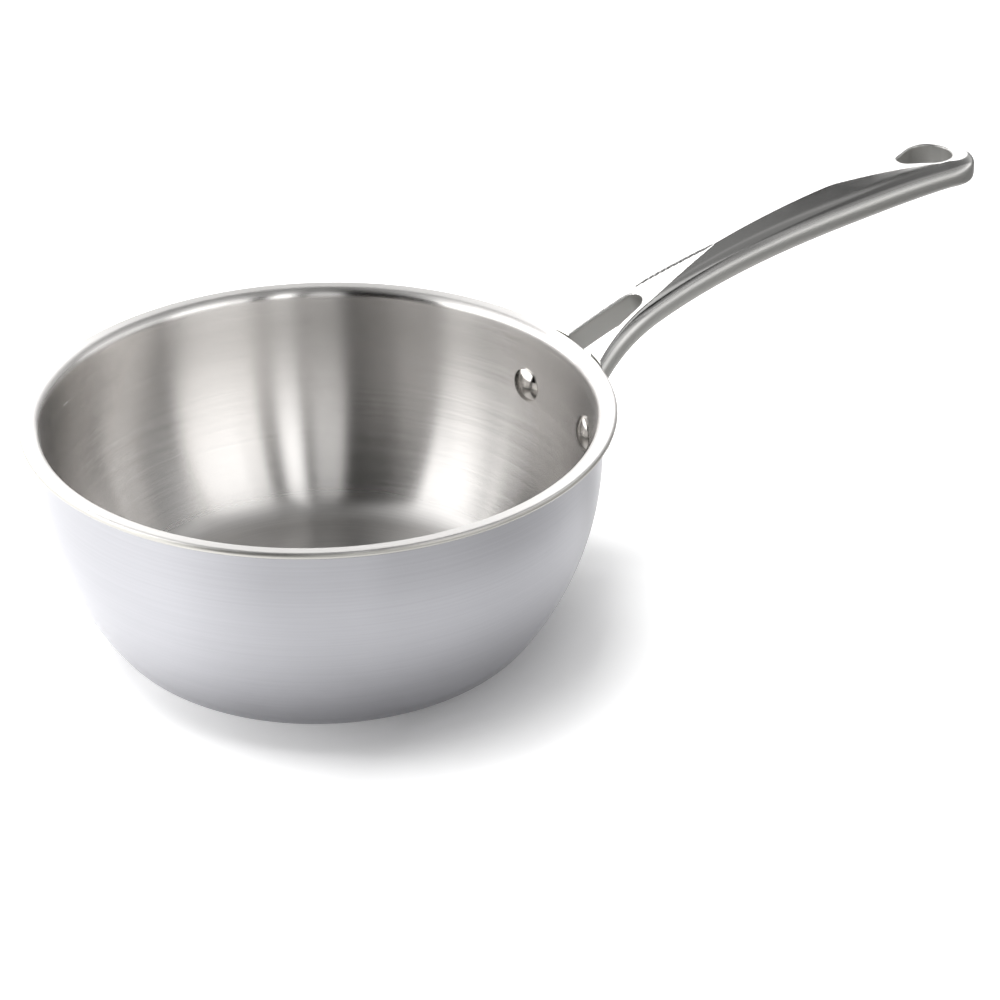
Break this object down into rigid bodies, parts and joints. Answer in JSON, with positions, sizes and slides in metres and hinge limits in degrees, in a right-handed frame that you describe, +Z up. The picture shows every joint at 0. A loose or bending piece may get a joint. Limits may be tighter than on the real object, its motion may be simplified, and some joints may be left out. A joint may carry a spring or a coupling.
{
  "type": "saucier pan",
  "caption": "Saucier pan: a clad bowl with curved walls, a flat base and a flared pouring lip, and an arched cast handle on rivets, with a slot at its fork and a hanging hole.",
  "frame": {"origin": "centre of the flat base, on the plane that the pan rests on", "axes": "+Z up along the bowl's axis, +X out along the handle, and the pan is the same on both sides of the XZ plane"},
  "size_m": [0.4341, 0.24, 0.153],
  "materials": {
    "brushed_outer_skin": "magnetic stainless steel, brushed round the pan, with a polished lip",
    "aluminium_core": "bare aluminium, seen only as a thin line in the lip's edge",
    "brushed_inner_skin": "18/10 stainless steel, brushed round the pan",
    "polished_handle": "cast stainless steel, mirror polished",
    "polished_rivets": "stainless steel, polished"
  },
  "bodies": {
    "root": {"outer_skin": "brushed_outer_skin", "aluminium_core": "aluminium_core", "inner_skin": "brushed_inner_skin", "handle": "polished_handle", "rivet_left": "polished_rivets", "rivet_right": "polished_rivets"}
  },
  "joints": []
}
